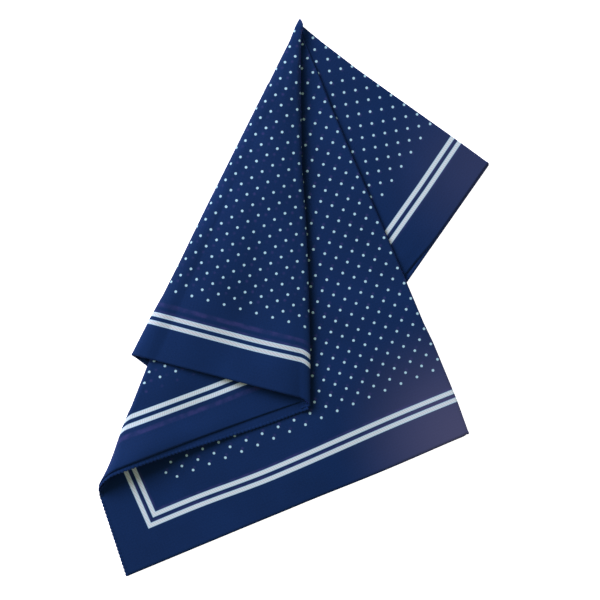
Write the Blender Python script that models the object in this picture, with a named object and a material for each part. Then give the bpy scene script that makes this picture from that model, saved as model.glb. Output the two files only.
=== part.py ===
"""Printed cotton handkerchief, folded in half and pleated from one peak, lying flat.

The cloth is halved along a line through its peak, then both layers are pleated
together: a lower panel, a flap turned back over it, a front pleat laid on the
flap and a rear panel wrapped round behind everything. X points right, Y points
towards the peak, Z up; the cloth rests on Z = 0 and the origin is the middle of
its footprint.
"""
import math

import bmesh
import bpy
import numpy as np

for old in list(bpy.data.objects):
    bpy.data.objects.remove(old, do_unlink=True)

MM = 0.001

# ---------------------------------------------------------------- dimensions, mm
WALL = 1.0           # one layer of cloth
DOUBLE = 2.3         # two layers lying on each other
GAP = 0.3            # between neighbouring pieces
HEM_WIDTH = 2.3      # rolled hem, across
HEM_HEIGHT = 1.5     # rolled hem, through
FOLD_ROOM = 4.6      # what an inner layer keeps back from a round outer fold
TIP_RADIUS = 1.3     # round of a pleat's fold beside the peak
LAP = 16.0           # how far the flap's own solids run up under the pleat
FOLD_BOW = 5.0       # how far the flap's fold bows out between peak and hem
FLARE = 1.7          # how far the lower panel reaches out where that fold ends
SPARE = 6.0          # how far past a layer's edge the cloth over it stays up
HEM_STEP = 5.6       # how far the second layer's hem stays inside the first's
NAVY = (0.011, 0.023, 0.107, 1.0)
HEM_NAVY = (0.009, 0.018, 0.085, 1.0)

# Where the folds and hems meet: a row for each corner, x and y from the origin.
CORNERS = {
    # name             x       y
    "peak":        (   5.0,  168.4),
    "pleat_peak":  (   4.8,  176.9),
    "rear_left":   (-101.6,  -37.2),
    "rear_corner": (  -9.4, -104.7),
    "rear_right":  ( 121.9,  82.9),
    "low_left":    (-121.25, -120.3),
    "low_corner":  (-104.7, -173.9),
    "low_right":   ( 108.75, -86.1),
    "pleat_left":  (-101.6,  -36.6),
    "pleat_right": (   9.4,  -66.6),
    "flap_left":   (-117.6, -110.0),
    "flap_right":  (   9.4,  -63.5),
    "under_left":  (-119.0, -114.0),
    "under_right": (   9.4,  -71.0),
}

# The layers from the bottom up: their corners, starting at the peak and going
# round by the left; how far each edge is drawn in, in the same order; the height
# each adds; how far from the peak it starts; and how softly what lies over it
# comes down beside it.
LAYERS = {
    # name    corners                                                 drawn in               rise  start  drape
    "rear":  (("peak", "rear_left", "rear_corner", "rear_right"),     (FOLD_ROOM, 0, 0, 0),   2.6,   0.0,  45.0),
    "lower": (("peak", "low_left", "low_corner", "low_right"),        (0, 0, 0, 0),           2.6,   6.0,  14.0),
    "under": (("peak", "under_left", "under_right"),         (0, 0, FOLD_ROOM),               1.3,  25.0,  14.0),
    "flap":  (("peak", "flap_left", "flap_right"),           (0, 0, FOLD_ROOM),               1.3,  25.0,  14.0),
    "inner": (("pleat_peak", "pleat_left", "pleat_right"),   (FOLD_ROOM, HEM_STEP, FOLD_ROOM), 1.3, 25.0,  14.0),
}


def corner(name):
    return np.array(CORNERS[name], dtype=float)


def smooth(value):
    value = min(max(value, 0.0), 1.0)
    return value * value * (3.0 - 2.0 * value)


def draw_in(points, amounts):
    """The polygon with each edge moved in; the points run anticlockwise."""
    count = len(points)
    moved = []
    for index in range(count):
        before = points[index] - points[index - 1]
        after = points[(index + 1) % count] - points[index]
        before = before / np.linalg.norm(before)
        after = after / np.linalg.norm(after)
        in_before = np.array((-before[1], before[0]))
        in_after = np.array((-after[1], after[0]))
        shift_before = in_before * amounts[index - 1]
        shift_after = in_after * amounts[index]
        cross = before[0] * after[1] - before[1] * after[0]
        between = shift_after - shift_before
        along = (between[0] * after[1] - between[1] * after[0]) / cross
        moved.append(points[index] + shift_before + before * along)
    return moved


def inside(x, y, points):
    """Distance inside a convex anticlockwise polygon, negative outside it."""
    nearest = 1e9
    for index, start in enumerate(points):
        edge = points[(index + 1) % len(points)] - start
        edge = edge / np.linalg.norm(edge)
        nearest = min(nearest, -edge[1] * (x - start[0]) + edge[0] * (y - start[1]))
    return nearest


OUTLINES = {}
for layer, (names, amounts, rise, start, drape) in LAYERS.items():
    OUTLINES[layer] = draw_in([corner(name) for name in names], amounts)


# Where folded cloth stands up from what it lies on: the fold's two ends, the
# height at the fold and how far from it the cloth takes to settle.
PUFFS = {
    # name    fold from       to             height  width
    "flap":  ("peak",         "low_left",      3.0,   30.0),
    "pleat": ("pleat_right",  "pleat_peak",    2.6,   26.0),
}


def puff(name, x, y):
    """Extra height beside a fold, growing with the distance from the peak."""
    start, end, height, width = PUFFS[name]
    edge = corner(end) - corner(start)
    edge = edge / np.linalg.norm(edge)
    side = x - CORNERS[start][0]
    along = y - CORNERS[start][1]
    away_from = abs(edge[0] * along - edge[1] * side)
    reach = math.hypot(x - CORNERS["peak"][0], y - CORNERS["peak"][1])
    return height * smooth(1.0 - away_from / width) * smooth(reach / 110.0)


def cover(layer, x, y):
    """1 where the layer lies, falling softly to 0 beside it and towards the peak."""
    names, amounts, rise, start, drape = LAYERS[layer]
    share = smooth(1.0 + (inside(x, y, OUTLINES[layer]) + SPARE) / drape)
    if start > 0.0:
        reach = math.hypot(x - CORNERS["peak"][0], y - CORNERS["peak"][1])
        share *= smooth((reach - start + 12.0) / 12.0)
    return share


def rest(below):
    """The height function of what lies on the named layers."""
    def height(x, y):
        return sum(LAYERS[layer][2] * cover(layer, x, y) for layer in below)
    return height


ON_TABLE = rest(())
ON_REAR = rest(("rear",))
ON_LOWER = rest(("rear", "lower"))
ON_UNDER = rest(("rear", "lower", "under"))
ON_FLAP = rest(("rear", "lower", "under", "flap"))
ON_INNER = rest(("rear", "lower", "under", "flap", "inner"))


def under_bottom(x, y):
    return ON_LOWER(x, y) + 0.8 * puff("flap", x, y)


def flap_bottom(x, y):
    return ON_UNDER(x, y) + puff("flap", x, y)


def inner_top_bottom(x, y):
    return ON_FLAP(x, y) + puff("flap", x, y)


def pleat_bottom(x, y):
    reach = math.hypot(x - CORNERS["peak"][0], y - CORNERS["peak"][1])
    tip = 2.0 * (1.0 - smooth(reach / 60.0))
    return ON_INNER(x, y) + puff("flap", x, y) + puff("pleat", x, y) + tip


def spread(points, counts):
    """Points along a polyline, with its corners kept."""
    line = [points[0]]
    for start, end, count in zip(points, points[1:], counts):
        for step in range(1, count + 1):
            line.append(start + (end - start) * step / count)
    return line


def fan(peak, hem, shares, bow=0.0, flare=0.0):
    """Rows of plan points from the peak to the hem.

    The left edge may bow out between them, and its last part may flare out to
    reach the end of a fold that is open there.
    """
    edge = hem[0] - peak
    edge = edge / np.linalg.norm(edge)
    out = np.array((edge[1], -edge[0]))
    rows = []
    for share in shares:
        row = []
        for index, point in enumerate(hem):
            fade = 1.0 - index / (len(hem) - 1)
            bulge = bow * math.sin(math.pi * share) * fade
            bulge += flare * smooth((share - 0.955) / 0.04) * max(0.0, 1.0 - index / 4.0)
            row.append(peak + (point - peak) * share + out * bulge)
        rows.append(row)
    return rows


def away(row, first):
    """Outward plan direction at a row's first or last point."""
    step = row[0] - row[1] if first else row[-1] - row[-2]
    return step / np.linalg.norm(step)


LIP_ANGLES = (20.0, 40.0, 60.0, 80.0, 100.0, 125.0, 150.0)
ROUND_ANGLES = (35.0, 68.0)


def edges(rows, index):
    """Unit vectors along a fold, row by row, for its first or last points."""
    runs = []
    for step in range(len(rows)):
        start = rows[max(step - 1, 0)][index]
        end = rows[min(step + 1, len(rows) - 1)][index]
        runs.append((end - start) / np.linalg.norm(end - start))
    return runs


def roll_radius(point, out, top, land):
    return max((top(*point) - land(*(point + out * 2.0))) / 2.0, TIP_RADIUS)


def make_room(rows, top, land_left, land_right, drawn):
    """Moves the rows' ends in, so each fold's round ends on its own line."""
    lefts = edges(rows, 0)
    rights = edges(rows, -1)
    moved = []
    for row, left, right in zip(rows, lefts, rights):
        new = [point.copy() for point in row]
        for land, run, index in ((land_left, left, 0), (land_right, right, -1)):
            if land is None:
                continue
            out = np.array((run[1], -run[0])) * (1.0 if index == 0 else -1.0)
            radius = roll_radius(row[index], out, top, land)
            for place in range(len(new)):
                fade = place / (len(new) - 1)
                fade = 1.0 - fade if index == 0 else fade
                new[place] -= out * (radius - drawn) * fade
        moved.append(new)
    return moved


def sections(rows, bottom, top, left, right):
    """Closed sections: the top from left to right, then the underside back.

    left and right are None for a cut edge, "round" for the rounded edge of a
    doubled wall, or a height function that the fold then rolls down to.
    """
    made = []
    lefts = edges(rows, 0)
    rights = edges(rows, -1)
    for row, left_run, right_run in zip(rows, lefts, rights):
        outer = [(point[0], point[1], top(*point)) for point in row]
        inner = [(point[0], point[1], bottom(*point)) for point in row]
        for index, style, run in ((0, left, left_run), (-1, right, right_run)):
            if style is None:
                continue
            point = row[index]
            beside = row[1] if index == 0 else row[-2]
            out = np.array((run[1], -run[0])) * (1.0 if index == 0 else -1.0)
            slant = np.dot(point - beside, run) / np.dot(point - beside, out)
            high = top(*point)
            low = bottom(*point)
            more_outer = []
            more_inner = []
            if style == "round":
                radius = (high - low) / 2.0
                for angle in ROUND_ANGLES:
                    reach = radius * math.sin(math.radians(angle))
                    drop = radius * (1.0 - math.cos(math.radians(angle)))
                    x, y = point + out * reach
                    more_outer.append((x, y, high - drop))
                    more_inner.append((x, y, low + drop))
            else:
                wall = high - low
                radius = roll_radius(point, out, top, style)
                for angle in LIP_ANGLES:
                    turn = math.radians(angle)
                    shift = run * slant * radius * min(turn, 1.6)
                    x, y = point + out * radius * math.sin(turn) + shift
                    more_outer.append((x, y, high - radius * (1.0 - math.cos(turn))))
                    x, y = point + out * (radius - wall) * math.sin(turn) + shift
                    height = high - radius + (radius - wall) * math.cos(turn)
                    more_inner.append((x, y, height))
            if index == 0:
                outer = more_outer[::-1] + outer
                inner = more_inner[::-1] + inner
            else:
                outer = outer + more_outer
                inner = inner + more_inner
        made.append(outer + inner[::-1])
    return made


def material(name, colour):
    shade = bpy.data.materials.new(name)
    shade.use_nodes = True
    surface = shade.node_tree.nodes["Principled BSDF"]
    surface.inputs["Base Color"].default_value = colour
    surface.inputs["Roughness"].default_value = 0.85
    surface.inputs["Metallic"].default_value = 0.0
    return shade


CLOTH = material("printed_cotton", NAVY)
HEM_CLOTH = material("rolled_hem_cotton", HEM_NAVY)


def solid(name, rings, shade, ring=False):
    """Joins closed sections one after the other and closes both ends."""
    mesh = bmesh.new()
    count = len(rings[0])
    loops = []
    for points in rings:
        loops.append([mesh.verts.new((x * MM, y * MM, z * MM)) for x, y, z in points])
    for one, two in zip(loops, loops[1:]):
        for index in range(count):
            after = (index + 1) % count
            mesh.faces.new((one[index], one[after], two[after], two[index]))
    half = count // 2
    for loop in (loops[0], loops[-1]):
        if ring:
            mesh.faces.new(loop)
            continue
        for index in range(half - 1):
            back = count - 1 - index
            mesh.faces.new((loop[index], loop[index + 1], loop[back - 1], loop[back]))
    bmesh.ops.recalc_face_normals(mesh, faces=mesh.faces)
    data = bpy.data.meshes.new(name)
    mesh.to_mesh(data)
    mesh.free()
    data.materials.append(shade)
    data.shade_smooth()
    data.set_sharp_from_angle(angle=math.radians(50.0))
    piece = bpy.data.objects.new(name, data)
    bpy.context.collection.objects.link(piece)
    return piece


def raised(bottom, thickness):
    def top(x, y):
        return bottom(x, y) + thickness
    return top


def hem_bar(name, hem, bottom, lift=0.0):
    """A rolled hem: an oval bar along the hem points, moved out from the panel."""
    rings = []
    for index, point in enumerate(hem):
        before = point - hem[index - 1] if index > 0 else hem[1] - point
        after = hem[index + 1] - point if index < len(hem) - 1 else before
        before = before / np.linalg.norm(before)
        after = after / np.linalg.norm(after)
        run = (before + after) / np.linalg.norm(before + after)
        mitre = 1.0 / np.dot(run, after)
        out = np.array((run[1], -run[0])) * mitre
        middle = point + out * (GAP + HEM_WIDTH / 2.0)
        ground = bottom(*middle) + lift
        ring = []
        for turn in range(8):
            angle = math.radians(22.5 + 45.0 * turn)
            side = HEM_WIDTH / 2.0 / math.cos(math.radians(22.5)) * math.cos(angle)
            up = HEM_HEIGHT / 2.0 / math.cos(math.radians(22.5)) * math.sin(angle)
            x, y = middle + out * side
            ring.append((x, y, ground + HEM_HEIGHT / 2.0 + up))
        rings.append(ring)
    return solid(name, rings, HEM_CLOTH, ring=True)


def shares(start, count):
    """Distances from the peak as shares of the whole, closer near the peak."""
    return [start + (1.0 - start) * (step / (count - 1)) ** 1.2 for step in range(count)]


HEM_ROOM = HEM_WIDTH + GAP

# ---------------------------------------------------------------- rear panel
# Both layers of the stretch that goes round behind, folded at its right edge,
# lying flat on the table with its hems left and low right.
names = LAYERS["rear"][0]
half_round = DOUBLE / 2.0
outline = draw_in([corner(name) for name in names],
                  (FOLD_ROOM, HEM_ROOM, HEM_ROOM, half_round))
hem = spread(outline[1:], (8, 14))
rows = fan(corner("peak") + (0.6, -2.2), hem, shares(0.02, 14))
solid("rear_panel", sections(rows, ON_TABLE, raised(ON_TABLE, DOUBLE), None, "round"),
      CLOTH)
hem_bar("rear_panel_hem", rows[-1], ON_TABLE)

# ---------------------------------------------------------------- lower panel
# Both layers of the largest stretch, folded at its right edge: it rests on the
# rear panel and comes down to the table beyond that panel's hem.
names = LAYERS["lower"][0]
outline = draw_in([corner(name) for name in names],
                  (FOLD_ROOM, HEM_ROOM, HEM_ROOM, half_round))
hem = spread(outline[1:], (5, 16))
lower_shares = shares(0.02, 20)[:-1] + [0.965, 0.98, 1.0]
rows = fan(corner("peak") + (1.2, -9.0), hem, lower_shares, FOLD_BOW, FLARE)
solid("lower_panel", sections(rows, ON_REAR, raised(ON_REAR, DOUBLE), None, "round"),
      CLOTH)
hem_bar("lower_panel_hem", rows[-1], ON_REAR, lift=0.4)


def strip(upper, lower, count, bow_from):
    """Rows between an upper and a lower line of plan points, bowed at the left."""
    rows = []
    edge = corner("low_left") - corner("peak")
    whole = np.linalg.norm(edge)
    edge = edge / whole
    out = np.array((edge[1], -edge[0]))
    for step in range(count):
        share = step / (count - 1)
        row = []
        for index, (high, low) in enumerate(zip(upper, lower)):
            point = high + (low - high) * share
            reach = np.dot(point - corner("peak"), edge) / whole
            fade = 1.0 - index / (len(upper) - 1)
            row.append(point + out * bow_from * math.sin(math.pi * reach) * fade)
        rows.append(row)
    return rows


def crossing(first, second, third, fourth):
    """Where the line through two points meets the line through two others."""
    one = second - first
    two = fourth - third
    gap = third - first
    share = (gap[0] * two[1] - gap[1] * two[0]) / (one[0] * two[1] - one[1] * two[0])
    return first + one * share


# ---------------------------------------------------------------- turned flap
# The stretch turned back over the lower panel. Its second layer is on top and
# rolls down to the table at the left fold; its first layer looks out below it.
lap_line = draw_in([corner(name) for name in LAYERS["inner"][0]], (0, LAP, 0))
lap_left = crossing(lap_line[1], lap_line[2], corner("peak"), corner("low_left"))
lap_right = crossing(lap_line[1], lap_line[2], corner("peak"), corner("pleat_right"))
flap_radius = 3.9
for node, ends, left_room, ground in (
        ("flap_under_layer", ("under_left", "under_right"), FOLD_ROOM, under_bottom),
        ("turned_flap", ("flap_left", "flap_right"), flap_radius, flap_bottom)):
    quad = [lap_right, lap_left, corner(ends[0]), corner(ends[1])]
    quad = draw_in(quad, (0.0, left_room, HEM_ROOM, FOLD_ROOM))
    upper = spread([quad[1], quad[0]], (16,))
    lower = spread([quad[2], quad[3]], (16,))
    rows = strip(upper, lower, 9, FOLD_BOW)
    top = raised(ground, WALL)
    fold = None
    if node == "turned_flap":
        fold = ON_REAR
        rows = make_room(rows, top, fold, None, flap_radius)
    solid(node, sections(rows, ground, top, fold, None), CLOTH)
    hem_bar(node + "_hem", rows[-1], ground)

# ---------------------------------------------------------------- front pleat
# The outer layer of the last stretch, over everything: it rolls down to the
# lower panel at its right fold and to the table at its left fold.
TIP = []
outline = draw_in([corner(name) for name in LAYERS["inner"][0]],
                  (TIP_RADIUS, HEM_ROOM, TIP_RADIUS))
hem = spread(outline[1:], (16,))
rows = fan(outline[0], hem, shares(0.008, 20))
top = raised(pleat_bottom, WALL)
rows = make_room(rows, top, ON_TABLE, ON_LOWER, TIP_RADIUS)
pleat = sections(rows, pleat_bottom, top, ON_TABLE, ON_LOWER)
middle = np.mean(np.array(pleat[0]), axis=0)
for shrink, advance in ((0.8, 1.9), (0.4, 4.1)):
    forward = np.array((0.0, advance, 0.0))
    ring = [middle + (np.array(point) - middle) * shrink + forward for point in pleat[0]]
    TIP.append(ring)
solid("front_pleat", TIP[::-1] + pleat, CLOTH)
hem_bar("front_pleat_hem", rows[-1], pleat_bottom)

# ---------------------------------------------------------------- inner layers
# What is hidden inside the pile: the flap's two layers above the lap line and
# the pleat's second layer, as one solid with a step where the flap begins.
outline = draw_in([corner(name) for name in LAYERS["inner"][0]],
                  (FOLD_ROOM + 4.8, HEM_ROOM + HEM_STEP, FOLD_ROOM + 0.6))
hem = spread(outline[1:], (14,))
lap_share = 1.0 - (LAP + 2.0) / np.linalg.norm(outline[0] - (outline[1] + outline[2]) / 2.0)
low_shares = [0.16 + (lap_share - 0.16) * step / 10 for step in range(11)]
high_shares = [lap_share + 0.003, (lap_share + 1.0) / 2.0, 1.0]
rings = []
for part, ground in ((low_shares, ON_LOWER), (high_shares, inner_top_bottom)):
    for row in fan(outline[0], hem, part):
        outer = [(point[0], point[1], pleat_bottom(*point) - 2.0 * GAP) for point in row]
        under = [(point[0], point[1], ground(*point)) for point in row]
        rings.append(outer + under[::-1])
solid("inner_layers", rings, CLOTH)
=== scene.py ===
import math

import bpy
import numpy as np
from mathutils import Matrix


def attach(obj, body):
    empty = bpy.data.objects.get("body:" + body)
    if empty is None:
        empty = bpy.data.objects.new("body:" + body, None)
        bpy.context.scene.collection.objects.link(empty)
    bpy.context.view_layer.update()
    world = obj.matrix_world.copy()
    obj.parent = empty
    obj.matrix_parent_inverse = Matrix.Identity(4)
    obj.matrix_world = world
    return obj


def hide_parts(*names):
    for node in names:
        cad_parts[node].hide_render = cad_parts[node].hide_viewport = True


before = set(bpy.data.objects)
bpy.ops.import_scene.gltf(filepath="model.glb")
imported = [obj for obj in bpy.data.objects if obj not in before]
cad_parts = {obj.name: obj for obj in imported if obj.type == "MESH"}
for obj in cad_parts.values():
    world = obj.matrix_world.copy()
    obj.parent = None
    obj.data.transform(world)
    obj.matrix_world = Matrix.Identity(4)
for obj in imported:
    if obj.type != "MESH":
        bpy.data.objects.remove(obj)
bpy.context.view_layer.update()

# ------------------------------------------------------------------ rear panel
# The stretch of the handkerchief that goes round behind the pile: two layers of
# cotton lawn, folded at the upper right edge and lying flat on the table. The
# cloth is one sheet, so how it is cut, printed and laid is worked out here.
MM = 0.001
CUT_ACROSS = 450.0   # the whole cloth, side hem to side hem
CUT_UP = 425.0       # and end hem to end hem
LAWN = 0.34          # one thickness of cloth
DOUBLE = 2.3         # two layers and the rolled hems that keep them apart
WALL = 1.0           # height that each single layer takes up in the pile
HEM = 2.3            # rolled hem, across
FOLD_ROOM = 4.6      # what an inner layer keeps back from a round outer fold
SPARE = 6.0          # how far past a layer's edge the cloth over it stays up
START_SLOPE = 12.0   # a layer that starts away from the peak rises over this length
CLEAR = 0.02         # nothing comes closer to the table than this
CORNERS = {
    "peak": (5.0, 168.4),
    "rear_left": (-101.6, -37.2),
    "rear_corner": (-9.4, -104.7),
    "rear_right": (121.9, 82.9),
}
# What each layer adds to the pile: its corners from the peak round by the left,
# how far each edge is drawn in, its rise, how far from the peak it starts, and
# how softly what lies over it comes down beside it.
LAYERS = {
    "rear": (("peak", "rear_left", "rear_corner", "rear_right"),
             (FOLD_ROOM, 0, 0, 0), 2.6, 0.0, 45.0),
}
# Where each stretch lies in the cut cloth: a point of the pile, that point's
# distance from the side hem and from the end hem, the directions in which those
# two distances grow, in degrees, and how much the cloth is stretched along each.
PRINT = {
    "rear": (66.06, 88.98, 205.1, 376.2, 55.81, -36.33, 1.0055, 0.9897),
}


def corner(name):
    return np.array(CORNERS[name], dtype=float)


def outline_of(layer):
    return [corner(name) for name in LAYERS[layer][0]]


def unit(vectors):
    return vectors / np.linalg.norm(vectors, axis=-1, keepdims=True)


def smooth(value):
    value = np.clip(value, 0.0, 1.0)
    return value * value * (3.0 - 2.0 * value)


def draw_in(points, amounts):
    """The polygon with each edge moved in; the points run anticlockwise."""
    moved = []
    for index, point in enumerate(points):
        before = unit(point - points[index - 1])
        after = unit(points[(index + 1) % len(points)] - point)
        shift_before = np.array((-before[1], before[0])) * amounts[index - 1]
        shift_after = np.array((-after[1], after[0])) * amounts[index]
        between = shift_after - shift_before
        turn = before[0] * after[1] - before[1] * after[0]
        along = (between[0] * after[1] - between[1] * after[0]) / turn
        moved.append(point + shift_before + before * along)
    return moved


def inside(x, y, points):
    """Distance inside a convex anticlockwise polygon, negative outside it."""
    nearest = np.full(np.shape(x), 1e9)
    for index, start in enumerate(points):
        edge = unit(points[(index + 1) % len(points)] - start)
        nearest = np.minimum(nearest, edge[0] * (y - start[1]) - edge[1] * (x - start[0]))
    return nearest


def from_peak(x, y):
    return np.hypot(x - CORNERS["peak"][0], y - CORNERS["peak"][1])


def gathered(x, y):
    """How far the layers keep their height as they run together at the peak."""
    return 0.55 + 0.45 * smooth(from_peak(x, y) / 40.0)


def cover(layer, x, y):
    """The layer's rise where it lies, falling softly to 0 beside it and towards the peak."""
    amounts, rise, start, drape = LAYERS[layer][1:]
    outline = draw_in(outline_of(layer), amounts)
    share = smooth(1.0 + (inside(x, y, outline) + SPARE) / drape)
    if start > 0.0:
        share = share * smooth((from_peak(x, y) - start + START_SLOPE) / START_SLOPE)
    return rise * share * gathered(x, y)


def on_table(x, y):
    return np.zeros(np.shape(x))


def on_rear(x, y):
    return cover("rear", x, y)


def spread(points, counts):
    """Points along a polyline, with its corners kept."""
    line = [points[0]]
    for start, end, count in zip(points, points[1:], counts):
        for step in range(1, count + 1):
            line.append(start + (end - start) * step / count)
    return np.array(line)


def fan(peak, hem, shares, sway=((0.0, 0.0),), bow=0.0):
    """Plan points in rows from the peak to the hem.

    sway says how far the right edge leaves the straight line, share by share of
    the way down. The left edge may bow out.
    """
    left, right = unit(hem[0] - peak), unit(hem[-1] - peak)
    left_out, right_out = np.array((left[1], -left[0])), np.array((-right[1], right[0]))
    place = np.arange(len(hem)) / (len(hem) - 1)
    rows = []
    for share in shares:
        bulge = bow * math.sin(math.pi * share) * (1.0 - place)
        aside = np.interp(share, *zip(*sway)) * place ** 3
        rows.append(peak + (hem - peak) * share
                    + left_out * bulge[:, None] + right_out * aside[:, None])
    return np.array(rows)


def laid(plan, height):
    """The plan points with their heights, rows by columns by x, y and z."""
    return np.dstack((plan, height(plan[..., 0], plan[..., 1])))


def round_fold(sheet, flat, side, radius, reach, swing=(0.0, 0.0), turn=172.0, steps=14):
    """Carries a sheet on round a fold beside its first or last column.

    radius is half the fold's height and reach how far it stands out, row by
    row. swing is how far the cloth also slips along the fold a quarter and
    half way round, and flat keeps where each point lies when opened out.
    """
    index, beside, way = (0, 1, 1.0) if side == "left" else (-1, -2, -1.0)
    line = sheet[:, index, :2]
    run = unit(np.gradient(line, axis=0))
    out = np.stack((run[:, 1], -run[:, 0]), axis=1) * way
    step = line - sheet[:, beside, :2]
    slant = np.sum(step * run, axis=1) / np.sum(step * out, axis=1)
    high = sheet[:, index, 2]
    more, more_flat = [], []
    gone = np.zeros(len(line))
    last = np.zeros((len(line), 2))
    for angle in np.radians(np.linspace(0.0, turn, steps + 1)[1:]):
        here = np.stack((reach * math.sin(angle), radius * (1.0 - math.cos(angle))), axis=1)
        gone = gone + np.linalg.norm(here - last, axis=1)
        last = here
        if angle < math.pi / 2.0:
            slip = swing[0] * math.sin(angle) ** 2
        else:
            slip = swing[0] + (swing[1] - swing[0]) * (angle * 2.0 / math.pi - 1.0)
        spot = line + out * here[:, :1] + run * (slant * gone + slip)[:, None]
        more.append(np.column_stack((spot, high - here[:, 1])))
        more_flat.append(flat[:, index] + (out + run * slant[:, None]) * gone[:, None])
    more = np.array(more).transpose(1, 0, 2)
    more_flat = np.array(more_flat).transpose(1, 0, 2)
    if side == "left":
        return (np.concatenate((more[:, ::-1], sheet), axis=1),
                np.concatenate((more_flat[:, ::-1], flat), axis=1))
    return np.concatenate((sheet, more), axis=1), np.concatenate((flat, more_flat), axis=1)


def doubled(upper, lower, flat):
    """Upper layer, the fold at its right edge, and the layer beneath it."""
    line = upper[:, -1, :2]
    fold = unit(line[-1] - line[0])
    out = np.array((-fold[1], fold[0]))
    radius = (upper[:, -1, 2] - lower[:, -1, 2]) / 2.0
    more, more_flat = [], []
    for angle in np.radians(np.linspace(0.0, 180.0, 9)[1:-1]):
        spot = line + out * (radius * math.sin(angle))[:, None]
        more.append(np.column_stack((spot, upper[:, -1, 2] - radius * (1.0 - math.cos(angle)))))
        more_flat.append(line + out * (radius * angle)[:, None])
    back = lower[:, ::-1]
    depth = np.sum((back[..., :2] - line[:, None]) * out, axis=-1)
    mirrored = (back[..., :2] - 2.0 * depth[..., None] * out
                + out * (math.pi * radius)[:, None, None])
    more = np.array(more).transpose(1, 0, 2)
    more_flat = np.array(more_flat).transpose(1, 0, 2)
    return (np.concatenate((upper, more, back), axis=1),
            np.concatenate((flat, more_flat, mirrored), axis=1))


def in_the_cut(stretch, flat):
    """Where points of a stretch lie in the cut cloth, in millimetres."""
    x, y, across, up, across_way, up_way, across_by, up_by = PRINT[stretch]
    a = np.array((math.cos(math.radians(across_way)), math.sin(math.radians(across_way))))
    b = np.array((math.cos(math.radians(up_way)), math.sin(math.radians(up_way))))
    step = flat - np.array((x, y))
    turn = a[0] * b[1] - a[1] * b[0]
    return np.stack((across + (step[..., 0] * b[1] - step[..., 1] * b[0]) / turn / across_by,
                     up + (a[0] * step[..., 1] - a[1] * step[..., 0]) / turn / up_by), axis=-1)


def linear(colour):
    """A hex sRGB colour as linear RGBA."""
    parts = [int(colour[place:place + 2], 16) / 255.0 for place in (1, 3, 5)]
    parts = [part / 12.92 if part <= 0.04045 else ((part + 0.055) / 1.055) ** 2.4
             for part in parts]
    return parts + [1.0]


def add(tree, kind, inputs, output=0, **settings):
    """Adds a node with its settings, values and links, and gives one output."""
    made = tree.nodes.new(kind)
    for name, value in settings.items():
        setattr(made, name, value)
    for socket, value in inputs.items():
        if isinstance(value, bpy.types.NodeSocket):
            tree.links.new(value, made.inputs[socket])
        else:
            made.inputs[socket].default_value = value
    return made.outputs[output]


# Cotton lawn, woven plain from fine combed yarn, piece-dyed navy and printed
# with pin dots inside a plain double stripe: matt, with the soft bloom of short
# fibres on its folds. The print's own measures, in millimetres:
STRIPES = ((21.85, 1.37), (27.1, 1.37))     # middle and half width, from the hem
SIDE_MARGIN = 1.0                           # the border lies this much further in at the sides
FIELD = 41.2                                # and the dots begin here
FIRST_DOT = (45.2, 48.9)                    # from the side hem, from the end hem
DOT_STEP = (5.33, 5.115)                    # half the repeat; every other place has a dot
DOT_RADIUS = 0.78
SOFT = 0.25                                 # how far the ink's edge runs
ECHO_SOFT = 0.65                            # and that of the print showing through
STITCH = 2.4                                # from one hem stitch to the next
WEAVE = 0.16                                # waves a millimetre, as drawn
SCREEN = 0.24                               # and the stripes' fine lines likewise
NAVY_DEEP = "#0B2248"
NAVY_LIGHT = "#0E2854"
# the greyish violet of the painted sheen towards the right corners
PAINTED_SHEEN_TINT = "#424464"
SHOW_THROUGH = "#463F7A"
BLOOM = "#5A40D8"                           # the sheen of the short fibres
INK = ("#C3D0DA", "#B2B9C0")                # the white, and where its screen thins it
INK_DARKER = ("#B8C1CB", "#A8AAB0")         # the same two tones, a little darker, on the front pleat
INK_EDGE = "#A9C8DA"
INK_DOT = "#A0C5D5"


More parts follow.
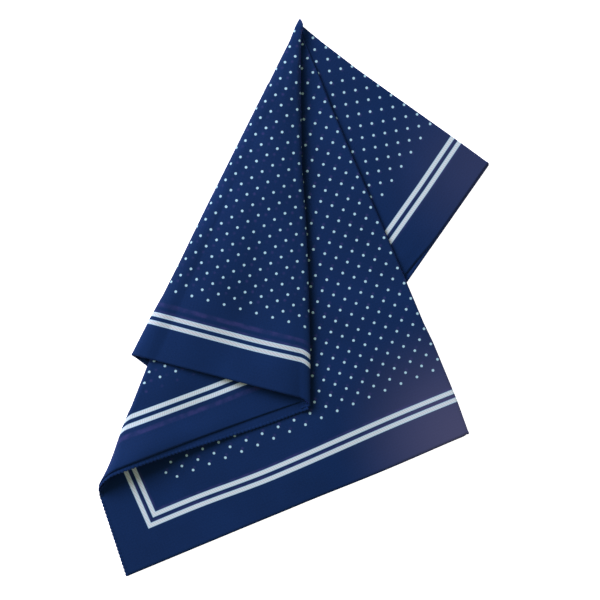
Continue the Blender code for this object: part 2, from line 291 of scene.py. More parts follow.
def printed_lawn(name, beneath, screen, white=INK, painted_sheen=None):
    """The printed cloth; beneath is how far the layer under it is out of step.

    screen is the direction in which the stripes' fine lines follow each other, and
    white their ink's two tones. The last argument paints light: a greyish violet
    sheen round a spot, standing in for light caught near a corner, given as the
    spot, how far round it, and how much.
    """
    shade = bpy.data.materials.new(name)
    shade.use_nodes = True
    tree = shade.node_tree
    place = add(tree, "ShaderNodeUVMap", {}, uv_map="cut")
    masks = []
    for shift, soft in (((0.0, 0.0), SOFT), (beneath, ECHO_SOFT)):
        moved = add(tree, "ShaderNodeVectorMath", {0: place, 1: (shift[0], shift[1], 0.0)},
                    operation="ADD")
        across = add(tree, "ShaderNodeSeparateXYZ", {0: moved}, output="X")
        up = add(tree, "ShaderNodeSeparateXYZ", {0: moved}, output="Y")
        from_side = add(tree, "ShaderNodeMath", {0: across, 1: CUT_ACROSS / 2.0},
                        operation="PINGPONG")
        from_side = add(tree, "ShaderNodeMath", {0: from_side, 1: SIDE_MARGIN},
                        operation="SUBTRACT")
        from_end = add(tree, "ShaderNodeMath", {0: up, 1: CUT_UP / 2.0}, operation="PINGPONG")
        from_hem = add(tree, "ShaderNodeMath", {0: from_side, 1: from_end}, operation="MINIMUM")
        depths = []
        for middle, half in STRIPES:
            off = add(tree, "ShaderNodeMath", {0: from_hem, 1: middle}, operation="SUBTRACT")
            off = add(tree, "ShaderNodeMath", {0: off}, operation="ABSOLUTE")
            depths.append(add(tree, "ShaderNodeMath", {0: half, 1: off}, operation="SUBTRACT"))
        depth = add(tree, "ShaderNodeMath", {0: depths[0], 1: depths[1]}, operation="MAXIMUM")
        stripes = add(tree, "ShaderNodeMapRange",
                      {"Value": depth, "From Min": -soft, "From Max": soft},
                      interpolation_type="SMOOTHSTEP")
        steps = []
        for value, first, step in zip((across, up), FIRST_DOT, DOT_STEP):
            value = add(tree, "ShaderNodeMath", {0: value, 1: first}, operation="SUBTRACT")
            steps.append(add(tree, "ShaderNodeMath", {0: value, 1: step}, operation="PINGPONG"))
        near = add(tree, "ShaderNodeCombineXYZ", {0: steps[0], 1: steps[1]})
        far = add(tree, "ShaderNodeVectorMath", {0: (DOT_STEP[0], DOT_STEP[1], 0.0), 1: near},
                  operation="SUBTRACT")
        near = add(tree, "ShaderNodeVectorMath", {0: near}, output="Value", operation="LENGTH")
        far = add(tree, "ShaderNodeVectorMath", {0: far}, output="Value", operation="LENGTH")
        near = add(tree, "ShaderNodeMath", {0: near, 1: far}, operation="MINIMUM")
        dots = add(tree, "ShaderNodeMapRange",
                   {"Value": near, "From Min": DOT_RADIUS - soft, "From Max": DOT_RADIUS + soft,
                    "To Min": 1.0, "To Max": 0.0}, interpolation_type="SMOOTHSTEP")
        field = add(tree, "ShaderNodeMath", {0: from_hem, 1: FIELD}, operation="GREATER_THAN")
        dots = add(tree, "ShaderNodeMath", {0: dots, 1: field}, operation="MULTIPLY")
        masks.append((stripes, dots, depth))
    edge = masks[0][2]
    # Uneven dye, the fleck of slubby threads, and the plain weave: its threads are
    # about 0.3 mm apart, too fine to show, so they are drawn 1.2 mm apart.
    cloud = add(tree, "ShaderNodeTexNoise", {"Vector": place, "Scale": 0.025, "Detail": 3.0})
    fleck = add(tree, "ShaderNodeTexNoise", {"Vector": place, "Scale": 1.1, "Detail": 2.0})
    threads = [add(tree, "ShaderNodeTexWave",
                   {"Vector": place, "Scale": WEAVE, "Distortion": 0.6, "Detail": 1.0},
                   output=1, bands_direction=way) for way in ("X", "Y")]
    weave = add(tree, "ShaderNodeMath", {0: threads[0], 1: threads[1]}, operation="MULTIPLY")
    dye = add(tree, "ShaderNodeMath", {0: fleck, 1: cloud}, operation="ADD")
    dye = add(tree, "ShaderNodeMapRange", {"Value": dye, "From Min": 0.7, "From Max": 1.3})
    ground = add(tree, "ShaderNodeMix", {0: dye, 6: linear(NAVY_DEEP), 7: linear(NAVY_LIGHT)},
                 output=2, data_type="RGBA")
    # Painted sheen: the ground is tinted greyish violet round a spot near a corner, for light
    # caught there.
    if painted_sheen is not None:
        x, y, reach, share = painted_sheen
        spot = add(tree, "ShaderNodeTexCoord", {}, output="Object")
        away = add(tree, "ShaderNodeVectorMath", {0: spot, 1: (x * MM, y * MM, 0.0)},
                   output="Value", operation="DISTANCE")
        away = add(tree, "ShaderNodeMapRange",
                   {"Value": away, "From Min": 0.0, "From Max": reach * MM,
                    "To Min": share, "To Max": 0.0}, interpolation_type="SMOOTHSTEP")
        ground = add(tree, "ShaderNodeMix", {0: away, 6: ground, 7: linear(PAINTED_SHEEN_TINT)},
                     output=2, data_type="RGBA")
    # The layer beneath shows through this thin cloth as a violet echo.
    echo = add(tree, "ShaderNodeMath", {0: masks[1][0], 1: masks[1][1]}, operation="MAXIMUM")
    patchy = add(tree, "ShaderNodeTexNoise", {"Vector": place, "Scale": 0.16, "Detail": 4.0})
    patchy = add(tree, "ShaderNodeMapRange",
                 {"Value": patchy, "From Min": 0.4, "From Max": 0.65,
                  "To Min": 0.08, "To Max": 0.32})
    echo = add(tree, "ShaderNodeMath", {0: echo, 1: patchy}, operation="MULTIPLY")
    ground = add(tree, "ShaderNodeMix", {0: echo, 6: ground, 7: linear(SHOW_THROUGH)},
                 output=2, data_type="RGBA")
    # The stripes are printed through a screen of fine slanting lines. They are
    # 0.9 mm apart, too fine to show, and drawn 1.3 mm apart. The ink's edges take a
    # little more of the cyan.
    slant = add(tree, "ShaderNodeMapping",
                {"Vector": place, "Rotation": (0.0, 0.0, -math.radians(screen))})
    lines = add(tree, "ShaderNodeTexWave", {"Vector": slant, "Scale": SCREEN, "Distortion": 0.4},
                output=1, bands_direction="X")
    ink = add(tree, "ShaderNodeMix", {0: lines, 6: linear(white[0]), 7: linear(white[1])},
              output=2, data_type="RGBA")
    rim = add(tree, "ShaderNodeMapRange", {"Value": edge, "From Min": 0.2, "From Max": 0.6},
              interpolation_type="SMOOTHSTEP")
    ink = add(tree, "ShaderNodeMix", {0: rim, 6: linear(INK_EDGE), 7: ink},
              output=2, data_type="RGBA")
    printed = add(tree, "ShaderNodeMix", {0: masks[0][0], 6: ground, 7: ink},
                  output=2, data_type="RGBA")
    printed = add(tree, "ShaderNodeMix", {0: masks[0][1], 6: printed, 7: linear(INK_DOT)},
                  output=2, data_type="RGBA")
    surface = tree.nodes["Principled BSDF"]
    tree.links.new(printed, surface.inputs["Base Color"])
    rough = add(tree, "ShaderNodeMapRange", {"Value": weave, "To Min": 0.82, "To Max": 0.92})
    tree.links.new(rough, surface.inputs["Roughness"])
    bump = add(tree, "ShaderNodeBump", {"Height": weave, "Strength": 0.35, "Distance": 0.06 * MM})
    tree.links.new(bump, surface.inputs["Normal"])
    surface.inputs["Specular IOR Level"].default_value = 0.08
    surface.inputs["Sheen Weight"].default_value = 0.4
    surface.inputs["Sheen Roughness"].default_value = 0.3
    surface.inputs["Sheen Tint"].default_value = linear(BLOOM)
    return shade


def mesh_object(name, points, faces, places, shade):
    """An object of cloth, with the place of each of its points in the cut."""
    mesh = bpy.data.meshes.new(name)
    mesh.from_pydata((points * MM).tolist(), [], faces)
    order = np.empty(len(mesh.loops), dtype=np.int32)
    mesh.loops.foreach_get("vertex_index", order)
    layer = mesh.uv_layers.new(name="cut")
    layer.data.foreach_set("uv", places[order].astype(np.float32).ravel())
    mesh.materials.append(shade)
    mesh.shade_smooth()
    piece = bpy.data.objects.new(name, mesh)
    bpy.context.collection.objects.link(piece)
    return piece


def finished(name, sheet, cut, shade, node):
    """A sheet of cloth from its grid of points, riding on the part's one body."""
    rows, columns = sheet.shape[:2]
    number = np.arange(rows * columns).reshape(rows, columns)
    faces = np.stack((number[:-1, :-1], number[1:, :-1], number[1:, 1:], number[:-1, 1:]), axis=-1)
    piece = mesh_object(name, sheet.reshape(-1, 3), faces.reshape(-1, 4).tolist(),
                        cut.reshape(-1, 2), shade)
    shell = piece.modifiers.new("lawn", "SOLIDIFY")
    shell.thickness = LAWN * MM
    shell.offset = -1.0
    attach(piece, "root")
    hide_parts(node)
    return piece


def declare(piece, cut, rests_on, *hems):
    """Clips the sheet's place in the cut to the whole cloth, and does nothing more with it.
    """
    cut = np.clip(cut, 0.0, (CUT_ACROSS, CUT_UP))


def finer(line, step):
    """A line of points resampled about every step."""
    gone = np.cumsum(np.linalg.norm(np.diff(line[:, :3], axis=0), axis=1))
    gone = np.concatenate(([0.0], gone))
    wanted = np.linspace(0.0, gone[-1], max(2, int(gone[-1] / step)))
    finer_line = [np.interp(wanted, gone, column) for column in line.T]
    return np.stack(finer_line, axis=1), wanted


def hem_roll(sheet, cut, stitched=0.0, sink=0.62, step=0.6, width=HEM, height=1.12,
             over=0.5):
    """A rolled hem along the sheet's last row: its points and its place in the cut.

    sink is how far its middle lies below the sheet's face, over how far it stands
    out past the edge, and stitched how deeply each stitch pinches it.
    """
    both = np.concatenate((sheet[-1], sheet[-2], cut[-1]), axis=1)
    both, gone = finer(both, step)
    edge, before, place = both[:, :3], both[:, 3:6], both[:, 6:]
    along = unit(np.gradient(edge, axis=0))
    down = unit(edge - before)
    up = unit(np.cross(down, along))
    out = np.cross(along, up)
    pinch = 1.0 - stitched * (0.5 + 0.5 * np.cos(gone * 2.0 * math.pi / STITCH)) ** 4
    rings, places = [], []
    for angle in np.radians(np.arange(0.0, 361.0, 30.0)):
        side = width / 2.0 * math.cos(angle) * pinch - width / 2.0 + over
        rise = height / 2.0 * math.sin(angle) * pinch - sink
        ring = edge + out * side[:, None] + up * rise[:, None]
        ring[:, 2] = np.maximum(ring[:, 2], CLEAR)
        rings.append(ring)
        places.append(place)
    return np.array(rings), np.array(places)


def hem_piece(name, rolls, shade, node):
    """One mesh of the rolled hems, closed at their ends."""
    points, faces, places = [], [], []
    base = 0
    for rings, place in rolls:
        turns, count = rings.shape[:2]
        turns -= 1
        number = base + np.arange(turns * count).reshape(turns, count)
        following = np.roll(number, -1, axis=0)
        skin = np.stack((number[:, :-1], following[:, :-1], following[:, 1:], number[:, 1:]),
                        axis=-1)
        faces += skin.reshape(-1, 4).tolist()
        faces += [number[::-1, 0].tolist(), number[:, -1].tolist()]
        points.append(rings[:-1].reshape(-1, 3))
        places.append(place[:-1].reshape(-1, 2))
        base += turns * count
    piece = mesh_object(name, np.concatenate(points), faces, np.concatenate(places), shade)
    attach(piece, "root")
    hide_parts(node)
    return piece


UNDER_LIFT = 0.15    # the lower layer rests on its own rolled hem
HEM_BACK = 2.5       # how far the upper layer's hem draws back where it goes under the pile
BACK_WAY = (-0.82, 0.57)
HEM_DIP = 0.8        # and how far it goes down there
# How far the right fold leaves the straight line: share of the way down, then out.
REAR_FOLD = ((0.0, 0.7), (0.12, -0.45), (0.3, -1.2), (0.5, -0.75), (0.76, 0.0), (0.9, 0.3))
# Its right corner is tinted greyish violet: painted sheen, for light caught there.
rear_lawn = printed_lawn("printed_cotton_lawn_rear", (0.0, -1.2), -10.0,
                         painted_sheen=(*CORNERS["rear_right"], 75.0, 0.37))
half_round = (DOUBLE - LAWN - UNDER_LIFT) / 2.0
plans = []
for layer, inset in (("upper", 0.0), ("lower", -0.6)):
    # Its edges in turn: the hidden one at the left, side hem, end hem and fold.
    outline = draw_in(outline_of("rear"), (2.9, inset, inset + 0.5, half_round - 0.3))
    outline[1] = outline[1] + (0.6, 1.5)
    hem = spread(outline[1:], (38, 80))
    if layer == "upper":
        # The first 54 mm from its right end show, and 34 mm on it is fully drawn back.
        back = smooth((np.linalg.norm(hem - outline[3], axis=1) - 54.0) / 34.0)
        back = back * smooth(np.linalg.norm(hem - outline[1], axis=1) / 60.0)
        hem = hem + HEM_BACK * back[:, None] * BACK_WAY
    plans.append(fan(corner("peak") + (-1.0, 0.8), hem, np.linspace(0.006, 1.0, 110), REAR_FOLD))
upper = laid(plans[0], lambda x, y: DOUBLE * gathered(x, y))
to_hem = np.linalg.norm(plans[0] - plans[0][-1:], axis=-1)
upper[..., 2] -= HEM_DIP * back * smooth(1.0 - to_hem / 10.0)
lower = laid(plans[1], lambda x, y: (LAWN + UNDER_LIFT) * gathered(x, y))
sheet, flat = doubled(upper, lower, plans[0])
cut = in_the_cut("rear", flat)
# The border printed along this hem bends a little inwards.
bend = 0.02 * np.clip(197.0 - cut[..., 0], 0.0, 60.0)
cut[..., 1] += bend * smooth((cut[..., 1] - 384.0) / 12.0)
rear_panel = finished("rear_panel_cloth", sheet, cut, rear_lawn, "rear_panel")
columns = plans[0].shape[1]
rear_hem = hem_piece("rear_panel_rolled_hem",
                     [hem_roll(sheet[:, :columns], cut[:, :columns]),
                      hem_roll(sheet[:, columns:], cut[:, columns:], sink=0.3)],
                     rear_lawn, "rear_panel_hem")
declare(rear_panel, cut, ("floor",), rear_hem)

# ----------------------------------------------------------------- lower panel
# The largest stretch, with the cloth's corner: two layers folded at the right
# edge, resting on the rear panel and on the table beyond that panel's hem.
CORNERS.update({
    "low_left": (-121.25, -120.3),
    "low_corner": (-104.7, -173.9),
    "low_right": (108.75, -86.1),
})
LAYERS["lower"] = (("peak", "low_left", "low_corner", "low_right"), (0, 0, 0, 0), 2.6, 6.0, 14.0)
PRINT["lower"] = (14.36, -42.73, 157.13, 74.49, 22.83, 113.82, 1.0166, 1.0142)
HEM_STEP = 5.6       # how far the second layer's side hem stays inside the first's
LIP = 1.8            # how much wider the upturned edge stands at the mouth
FOLD_BOW = 5.0       # how far the left fold bows out half way down
HEM_SAG = 0.7        # and the end hem over its right half
SIDE_STEPS = 34      # columns along the side hem,
END_STEPS = 130      # along the end hem
CURL_STEPS = 12      # and round the upturned edge
# How far the right fold leaves the straight line: share of the way down, then out.
LOWER_FOLD = ((0.0, 0.0), (0.03, -1.2), (0.12, -1.2), (0.2, -1.85), (0.3, -1.4), (0.47, -0.5),
              (0.6, 0.0), (0.73, 0.4), (0.78, 1.3), (0.92, 1.4), (1.0, 0.4))


def on_lower(x, y):
    return on_rear(x, y) + cover("lower", x, y)


# Its right corner is tinted greyish violet: painted sheen, for light caught there.
lower_lawn = printed_lawn("printed_cotton_lawn_lower", (-1.3, -1.5), 23.0,
                          painted_sheen=(*CORNERS["low_right"], 87.0, 0.98))
plans = []
for inset in (0.0, 0.6):
    outline = draw_in(outline_of("lower"),
                      (FOLD_ROOM, inset - 0.5, inset - 0.5, half_round - 0.3))
    # The ends of the side hem are pulled a little askew.
    outline[1] = outline[1] + (-1.1, 0.3)
    outline[2] = outline[2] + (0.2, -0.8)
    hem = spread(outline[1:], (SIDE_STEPS, END_STEPS))
    along = np.clip(np.arange(-SIDE_STEPS, END_STEPS + 1) / END_STEPS, 0.0, 1.0)
    hem[:, 1] -= HEM_SAG * np.sin(math.pi * np.clip(along * 2.0 - 1.0, 0.0, 1.0)) ** 2
    hem[-2:] += ((-0.05, 0.1), (-0.4, 0.5))
    plans.append(fan(corner("peak") + (-2.2, 1.8), hem, np.linspace(0.005, 1.0, 138),
                     LOWER_FOLD, bow=FOLD_BOW))
upper = laid(plans[0], lambda x, y: on_rear(x, y) + DOUBLE * gathered(x, y))
# It stands a little higher along its right fold.
upper[..., 2] += 0.9 * np.linspace(0.0, 1.0, upper.shape[1]) ** 6
# Near the peak it slopes down to its right edge.
to_edge = np.linalg.norm(plans[0] - plans[0][:, -1:], axis=-1)
slope = smooth(1.0 - from_peak(plans[0][..., 0], plans[0][..., 1]) / 60.0)
upper[..., 2] += slope * (1.6 * smooth(to_edge / 6.0) - 0.9)
lower = laid(plans[1], lambda x, y: on_rear(x, y) + (LAWN + UNDER_LIFT) * gathered(x, y))
sheet, flat = doubled(upper, lower, plans[0])
# At the left the upper layer turns up into the round fold, and shows at its mouth.
to_hem = np.linalg.norm(sheet[:, 0, :2] - sheet[-1, 0, :2], axis=1)
curl = 1.2 + LIP * smooth(1.0 - to_hem / 40.0)
curl = curl * (0.15 + 0.85 * smooth((to_hem[0] - to_hem) / 60.0))
sheet, flat = round_fold(sheet, flat, "left", -curl, curl * 0.8, turn=150.0, steps=CURL_STEPS)
# It is drawn together at the peak, so more of it lies in the same room there.
gather = np.exp(-from_peak(flat[..., 0], flat[..., 1]) / 24.0)
cut = in_the_cut("lower", flat + gather[..., None] * (-5.5, 3.5))
# The printed border wavers a little on its way along this hem.
waver = 0.5 + 0.4 * np.cos((cut[..., 0] - 110.0) * math.pi / 80.0)
waver -= 1.2 * smooth((105.0 - cut[..., 0]) / 55.0)
cut[..., 1] += waver * smooth((60.0 - cut[..., 1]) / 25.0)
lower_panel = finished("lower_panel_cloth", sheet, cut, lower_lawn, "lower_panel")
corner_at = SIDE_STEPS + CURL_STEPS
columns = plans[0].shape[1] + CURL_STEPS
lower_hem = hem_piece("lower_panel_rolled_hem",
                      [hem_roll(sheet[:, :corner_at + 1], cut[:, :corner_at + 1],
                                stitched=0.3, sink=0.3, step=0.4),
                       hem_roll(sheet[:, corner_at:columns], cut[:, corner_at:columns],
                                width=1.3, height=0.8, over=0.0),
                       hem_roll(sheet[:, columns:], cut[:, columns:], sink=0.3)],
                      lower_lawn, "lower_panel_hem")
declare(lower_panel, cut, (rear_panel, "floor"), lower_hem)

# ----------------------------------------------------------------- turned flap
# The stretch turned back over the lower panel. Its two layers come up out of the
# panel's round left fold: the first lies below and looks out with its stitched
# hem, the second lies on top.
CORNERS.update({
    "pleat_peak": (4.8, 176.9),
    "pleat_left": (-101.6, -36.6),
    "pleat_right": (9.4, -66.6),
    "flap_left": (-117.6, -110.9),
    "flap_right": (9.4, -64.0),
    "under_left": (-119.0, -114.0),
    "under_right": (9.4, -70.3),
})
LAYERS["under"] = (("peak", "under_left", "under_right"), (0, 0, FOLD_ROOM), 1.0, 25.0, 14.0)
LAYERS["flap"] = (("peak", "flap_left", "flap_right"), (0, 0, FOLD_ROOM), 1.3, 25.0, 14.0)
LAYERS["inner"] = (("pleat_peak", "pleat_left", "pleat_right"),
                   (FOLD_ROOM, HEM_STEP, FOLD_ROOM), 1.3, 25.0, 14.0)
PRINT["flap"] = (-83.56, -50.13, 45.2, 110.3, 110.2, 20.2, 1.0, 1.02)
# Where folded cloth stands up: the fold's ends, its height, how far from the fold
# it is highest and how far from there it takes to settle.
PUFFS = {
    "flap": ("peak", "low_left", 3.0, 13.0, 30.0),
    "pleat": ("pleat_right", "pleat_peak", 3.0, 9.0, 26.0),
}
MOUTH_OPEN = 1.2     # how much wider the fold stands at its open end
HEM_LIFT = 6.0       # how far the flap's hems stand off the cloth there
CLIMB = 2.4          # and how far they climb into the front pleat's fold
LAP = 46.0           # how far the flap goes on beneath the front pleat
SLIP = 1.6           # how far its cloth slips along its fold on the way round
FLAP_COLUMNS = 90
# A hem pressed flat, with no stitches to be seen.
PRESSED = {"sink": 0.55, "width": 1.4, "height": 0.85, "over": 0.15}


def beside(start, end, x, y):
    """Distance from the line between two corners."""
    edge = unit(corner(end) - corner(start))
    return np.abs(edge[0] * (y - CORNERS[start][1]) - edge[1] * (x - CORNERS[start][0]))


def puff(name, x, y):
    start, end, height, crest, width = PUFFS[name]
    away = beside(start, end, x, y)
    return height * smooth(1.0 - np.abs(away - crest) / width) * smooth(from_peak(x, y) / 110.0)


def climb(x, y):
    away = beside("pleat_right", "pleat_peak", x, y)
    return CLIMB * smooth(1.0 - away / 6.0) * smooth(from_peak(x, y) / 110.0)


def under_top(x, y):
    return on_lower(x, y) + puff("flap", x, y) + climb(x, y) + WALL


def flap_top(x, y):
    return on_lower(x, y) + cover("under", x, y) + puff("flap", x, y) + climb(x, y) + WALL


def strip(upper, lower, count, bow):
    """Rows between two lines of plan points, bowed at the left."""
    fold = corner("low_left") - corner("peak")
    whole = np.linalg.norm(fold)
    fold = fold / whole
    out = np.array((fold[1], -fold[0]))
    fade = 1.0 - np.arange(len(upper)) / (len(upper) - 1)
    rows = []
    for share in np.linspace(0.0, 1.0, count):
        line = upper + (lower - upper) * share
        reach = (line - corner("peak")) @ fold / whole
        rows.append(line + out * (bow * np.sin(math.pi * reach) * fade)[:, None])
    return np.array(rows)


def crossing(first, second, third, fourth):
    """Where the line through two points meets the line through two others."""
    one, two, gap = second - first, fourth - third, third - first
    share = (gap[0] * two[1] - gap[1] * two[0]) / (one[0] * two[1] - one[1] * two[0])
    return first + one * share


flap_lawn = printed_lawn("printed_cotton_lawn_flap", (5.6, 0.8), -65.0)
lap_line = draw_in(outline_of("inner"), (0, LAP, 0))
lap_left = crossing(lap_line[1], lap_line[2], corner("peak"), corner("low_left"))
lap_right = crossing(lap_line[1], lap_line[2], corner("peak"), corner("pleat_right"))
# The two layers: the ends of each one's hem, how high it lies and on what its fold
# comes down, how far its side hem is from where the print puts it, how far it keeps
# back at the right, how far its hem sags, how much further its fold stands in and
# up, how it slips round the fold at the mouth, and its rolled hem.
FLAP = {
    "flap_under_layer": (("under_left", "under_right"), under_top, on_lower, -HEM_STEP,
                         0.5, 1.5, 0.6, 1.0, (1.4, -1.0), {"stitched": 0.5, "sink": 0.3}),
    "turned_flap": (("flap_left", "flap_right"), flap_top, on_rear, 0.0,
                    1.2, 0.0, 0.0, 0.0, (1.6, -1.6), PRESSED),
}
flap_pieces = {}
for node, layer in FLAP.items():
    ends, height, land, shift, room, sag, inner, wider, slips, roll = layer
    quad = draw_in([lap_right, lap_left, corner(ends[0]), corner(ends[1])], (0.0, 0.0, 0.3, room))
    hem = spread([quad[2], quad[3]], (FLAP_COLUMNS,))
    hem[:, 1] -= sag * np.sin(math.pi * np.linspace(0.0, 1.0, FLAP_COLUMNS + 1) ** 2)
    plan = strip(spread([quad[1], quad[0]], (FLAP_COLUMNS,)), hem, 70, FOLD_BOW)
    line = plan[:, 0]
    radius = (height(line[:, 0], line[:, 1]) - land(line[:, 0], line[:, 1])) / 2.0
    to_hem = np.linalg.norm(line - line[-1], axis=1)
    mouth = smooth(1.0 - to_hem / 45.0)
    # At its open mouth the fold stands wider, comes in a little and lifts.
    turned_in = 1.4 * np.sqrt(mouth)
    lift = HEM_LIFT * smooth(1.0 - to_hem / 32.0)
    radius = radius + MOUTH_OPEN * mouth + lift / 2.0 + wider
    # The rows begin where the fold ends, so they are drawn in by its reach.
    fade = 1.0 - np.linspace(0.0, 1.0, plan.shape[1])
    rows = unit(plan[-1, -1] - plan[-1, 0])
    plan = plan + np.outer(radius + inner - turned_in, fade)[..., None] * rows * 1.35
    sheet = laid(plan, height)
    raised = 2.0 * MOUTH_OPEN * mouth[:, None] * smooth(fade * 3.0 - 2.0)[None, :]
    # The lift fades out towards the right and is gone before the pleat's fold.
    sheet[..., 2] += raised + np.outer(lift, smooth((fade - 0.22) / 0.62))
    sheet, flat = round_fold(sheet, plan, "left", radius, radius,
                             [SLIP + slip * mouth ** 2 for slip in slips])
    cut = in_the_cut("flap", flat) - (shift, 0.0)
    # The border printed along the hem runs a little further in away from the mouth.
    inwards = 0.1 + 0.45 * smooth((cut[..., 1] - 135.0) / 25.0)
    cut[..., 0] -= inwards * smooth((44.0 - cut[..., 0]) / 12.0)
    piece = finished(node + "_cloth", sheet, cut, flap_lawn, node)
    hem = hem_piece(node + "_rolled_hem", [hem_roll(sheet, cut, step=0.4, **roll)],
                    flap_lawn, node + "_hem")
    declare(piece, cut, (lower_panel,), hem)
    flap_pieces[node] = piece

# ----------------------------------------------------------------- front pleat
# The last stretch, over everything: its inner layer, and its outer layer with a
# round fold at the left, where it goes behind, and at the right, where it comes
# from the flap.
PRINT["pleat"] = (-24.55, 23.38, 77.18, 253.5, 74.03, 165.13, 1.010, 1.0169)
LEFT_REACH = 1.4     # the folds stand out this much further than up
RIGHT_REACH = 2.2
NARROW = 0.34        # share of the pleat's width that a fold may take where it is narrow
DOME = 0.022         # how far the pleat rises between its folds, by its width
BILLOW = 1.8         # how far the middle of the hem stands off the flap
TIP_RISE = 6.0       # how far the layers' bunched ends lift it near the peak
TIP_SLACK = 2.4      # and how much more cloth lies there than there is room for


def pleat_top(x, y):
    bunched = TIP_RISE * (1.0 - smooth(from_peak(x, y) / 75.0))
    return (on_lower(x, y) + cover("under", x, y) + cover("flap", x, y) + cover("inner", x, y)
            + puff("flap", x, y) + puff("pleat", x, y) + bunched + WALL)


# How far the folds leave the straight lines from tip to hem: y, then x.
RIGHT_FOLD = ((-64.0, 0.0), (-33.0, 0.8), (15.0, 0.9), (43.0, 0.3), (80.0, -1.4),
              (128.0, -0.9), (150.0, -0.3), (163.0, 0.4), (165.5, 1.0), (168.4, 1.9),
              (170.3, 1.9), (172.2, 1.2), (174.9, 0.0))
LEFT_FOLD = ((-37.0, 0.0), (-14.0, 0.3), (0.0, 1.1), (20.0, 1.2), (50.0, 0.75), (100.0, 0.7),
             (123.0, 1.1), (160.0, 1.0), (169.0, 0.0))


def under_level(x, y):
    return on_lower(x, y) + WALL * smooth(from_peak(x, y) / 60.0)


# Its stripes are printed a little darker than on the other stretches.
pleat_lawn = printed_lawn("printed_cotton_lawn_pleat", (-6.8, -0.8), -29.0, white=INK_DARKER)
outline = draw_in(outline_of("inner"), (FOLD_ROOM + 2.0, HEM_STEP, FOLD_ROOM))
plan = fan(outline[0], spread(outline[1:], (60,)), np.linspace(0.1, 1.0, 110))
sheet = laid(plan, pleat_top) - (0.0, 0.0, WALL + 0.1)
inner_cut = in_the_cut("pleat", plan)
inner_layer = finished("pleat_inner_cloth", sheet, inner_cut, pleat_lawn, "inner_layers")

# The outer layer's own outline: its tip and the two ends of its hem. Its first rows
# lie closer together, because the tip is small and steep.
tip = np.array((3.8, 174.9))
ends = (np.array((-101.3, -36.1)), np.array((10.0, -64.5)))
plan, radii, reaches = [], [], []
for share in np.concatenate((np.linspace(0.006, 0.06, 14)[:-1], np.linspace(0.06, 1.0, 170))):
    left, right = tip + (ends[0] - tip) * share, tip + (ends[1] - tip) * share
    right = right + (np.interp(right[1], *zip(*RIGHT_FOLD)), 0.0)
    left = left + (np.interp(left[1], *zip(*LEFT_FOLD)), 0.0)
    across = np.linalg.norm(right - left)
    radius, reach = [], []
    # The right fold may rise higher there, and stands out less.
    away = from_peak(*right)
    right_stand = RIGHT_REACH * (0.22 + 0.43 * smooth(away / 90.0) + 0.35 * smooth(away / 200.0))
    for point, land, stand, widest in ((left, on_table, LEFT_REACH, NARROW),
                                       (right, under_level, right_stand, 0.5)):
        half = (pleat_top(*point) - land(*point)) / 2.0
        radius.append(min(half, widest * across))
        reach.append(min(radius[-1] * stand, NARROW * across * stand))
    row = unit(right - left)
    plan.append(spread([left + row * reach[0], right - row * reach[1]], (84,)))
    radii.append(radius)
    reaches.append(reach)
plan, radii, reaches = np.array(plan), np.array(radii), np.array(reaches)
sheet = laid(plan, pleat_top)
across = np.linalg.norm(plan[:, -1] - plan[:, 0], axis=1) + radii.sum(axis=1)
# Where it is narrow it cannot stand much higher than it is wide.
sheet[..., 2] = np.minimum(sheet[..., 2], 2.2 + 1.05 * across[:, None])
to_hem = np.linalg.norm(plan[:, -1] - plan[-1, -1], axis=1)
# It billows between its folds, near the hem mostly towards the right one.
crest = 1.0 + 1.6 * smooth(1.0 - to_hem / 45.0)
billow = np.sin(math.pi * np.linspace(0.0, 1.0, plan.shape[1]) ** crest[:, None])
sheet[..., 2] += (BILLOW * smooth(1.0 - to_hem / 30.0) + DOME * across)[:, None] * billow
flared = smooth(1.0 - to_hem / 100.0)
# Near the tip the cloth climbs steeply, so more of it lies in the same room.
up = unit(tip - (ends[0] + ends[1]) / 2.0)
steep = TIP_SLACK * np.exp(-np.linalg.norm(plan - tip, axis=-1) / 20.0)
sheet, flat = round_fold(sheet, plan + up * steep[..., None], "left",
                         radii[:, 0], reaches[:, 0], (0.0, -1.6 * flared))
sheet, flat = round_fold(sheet, flat, "right",
                         radii[:, 1], reaches[:, 1], (3.0 * flared, 3.2 * flared))
sheet[..., 2] = np.maximum(sheet[..., 2], CLEAR)
cut = in_the_cut("pleat", flat)
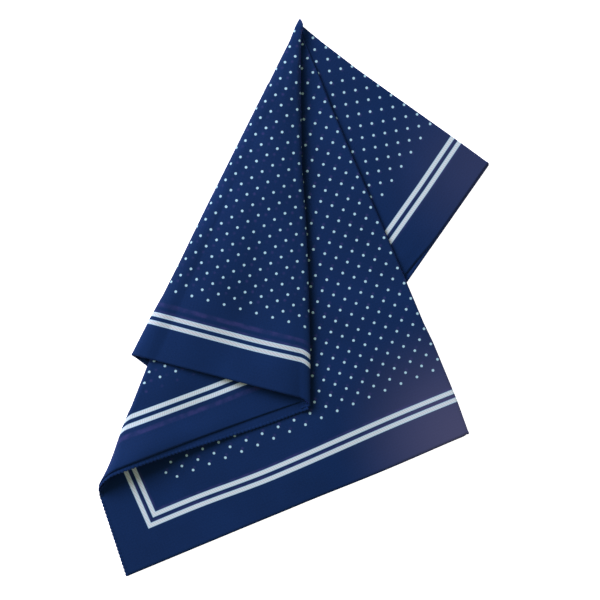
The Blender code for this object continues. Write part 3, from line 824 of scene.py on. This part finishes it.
# The border printed along this hem runs a little inwards towards the right fold.
inwards = 0.5 + 1.2 * smooth((245.0 - cut[..., 1]) / 45.0)
cut[..., 0] -= inwards * smooth((44.0 - cut[..., 0]) / 12.0)
front_pleat = finished("front_pleat_cloth", sheet, cut, pleat_lawn, "front_pleat")
pleat_hem = hem_piece("front_pleat_rolled_hem", [hem_roll(sheet, cut, step=0.5, **PRESSED)],
                      pleat_lawn, "front_pleat_hem")
declare(front_pleat, cut, (flap_pieces["turned_flap"], inner_layer, rear_panel), pleat_hem)
declare(inner_layer, inner_cut, (flap_pieces["turned_flap"],))

# --------------------------------------------------- table, light and camera
# The handkerchief lies on a white light table under one broad soft lamp from the
# upper left and the faint warm light of the room, seen from straight above.
bpy.ops.mesh.primitive_plane_add(size=8.0, location=(0.0, 0.0, -0.0001))
floor = bpy.context.object
floor.name = "floor"
table = bpy.data.materials.new("white_light_table")
table.use_nodes = True
for socket, value in (("Base Color", linear("#F6F6F6")), ("Roughness", 0.9),
                      ("Specular IOR Level", 0.1), ("Emission Color", (1.0, 1.0, 1.0, 1.0)),
                      ("Emission Strength", 1.0)):
    table.node_tree.nodes["Principled BSDF"].inputs[socket].default_value = value
floor.data.materials.append(table)

lamp_data = bpy.data.lights.new("softbox", "AREA")
lamp_data.shape = "SQUARE"
lamp_data.size = 1.4
lamp_data.energy = 75.0
lamp_data.color = (0.84, 0.845, 1.0)
lamp = bpy.data.objects.new("softbox", lamp_data)
bpy.context.collection.objects.link(lamp)
lamp.location = (-1.25, 1.22, 1.5)
lamp.rotation_euler = (-lamp.location).to_track_quat("-Z", "Y").to_euler()

room = bpy.data.worlds.new("dim_warm_room")
room.use_nodes = True
room.node_tree.nodes["Background"].inputs["Color"].default_value = (0.98, 0.96, 0.73, 1.0)
room.node_tree.nodes["Background"].inputs["Strength"].default_value = 0.42
bpy.context.scene.world = room
bpy.context.scene.view_settings.view_transform = "Standard"

camera_data = bpy.data.cameras.new("camera")
camera_data.lens = 180.0
camera_data.sensor_width = 36.0
camera_data.clip_end = 20.0
camera = bpy.data.objects.new("camera", camera_data)
bpy.context.collection.objects.link(camera)
camera.location = (3.75 * MM, -2.19 * MM, 1.881)
bpy.context.scene.camera = camera
